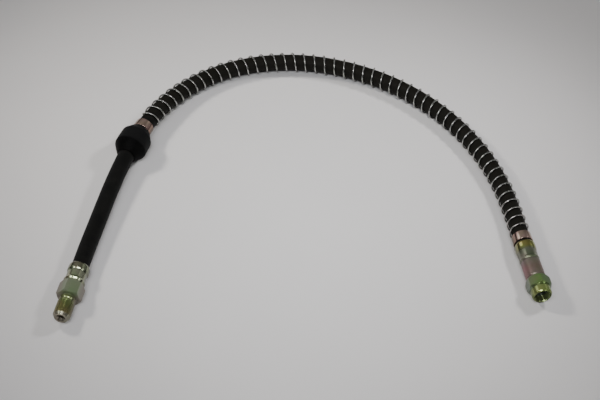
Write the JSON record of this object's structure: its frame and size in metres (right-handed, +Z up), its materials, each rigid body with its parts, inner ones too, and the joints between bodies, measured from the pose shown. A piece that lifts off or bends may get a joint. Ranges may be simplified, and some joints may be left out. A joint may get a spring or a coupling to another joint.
{
  "type": "brake line",
  "caption": "Flexible rubber brake hose with crimped male and female threaded ends, a wire spring guard held between metal bands, and a rubber collar.",
  "frame": {"origin": "middle of the bounding box in X and Y, on the surface that the brake line lies on", "axes": "+Z up; +X from the male end's side of the arch to the female end's side; the arch opens towards -Y, where both fittings point"},
  "size_m": [0.2812, 0.231, 0.0201],
  "materials": {
    "hose_rubber": "matt black extruded rubber",
    "collar_rubber": "smooth black moulded rubber",
    "spring_steel": "drawn wire, bright zinc",
    "band_plate": "bright plate with a pink tint",
    "ferrule_plate": "yellow-green passivated zinc",
    "fitting_plate": "yellow-green passivated zinc"
  },
  "bodies": {
    "root": {"hose": "hose_rubber", "rubber_collar": "collar_rubber", "spring_guard": "spring_steel", "male_end_band": "band_plate", "female_end_band": "band_plate", "male_ferrule": "ferrule_plate", "female_ferrule": "ferrule_plate", "male_fitting": "fitting_plate", "female_fitting": "fitting_plate"}
  },
  "joints": []
}
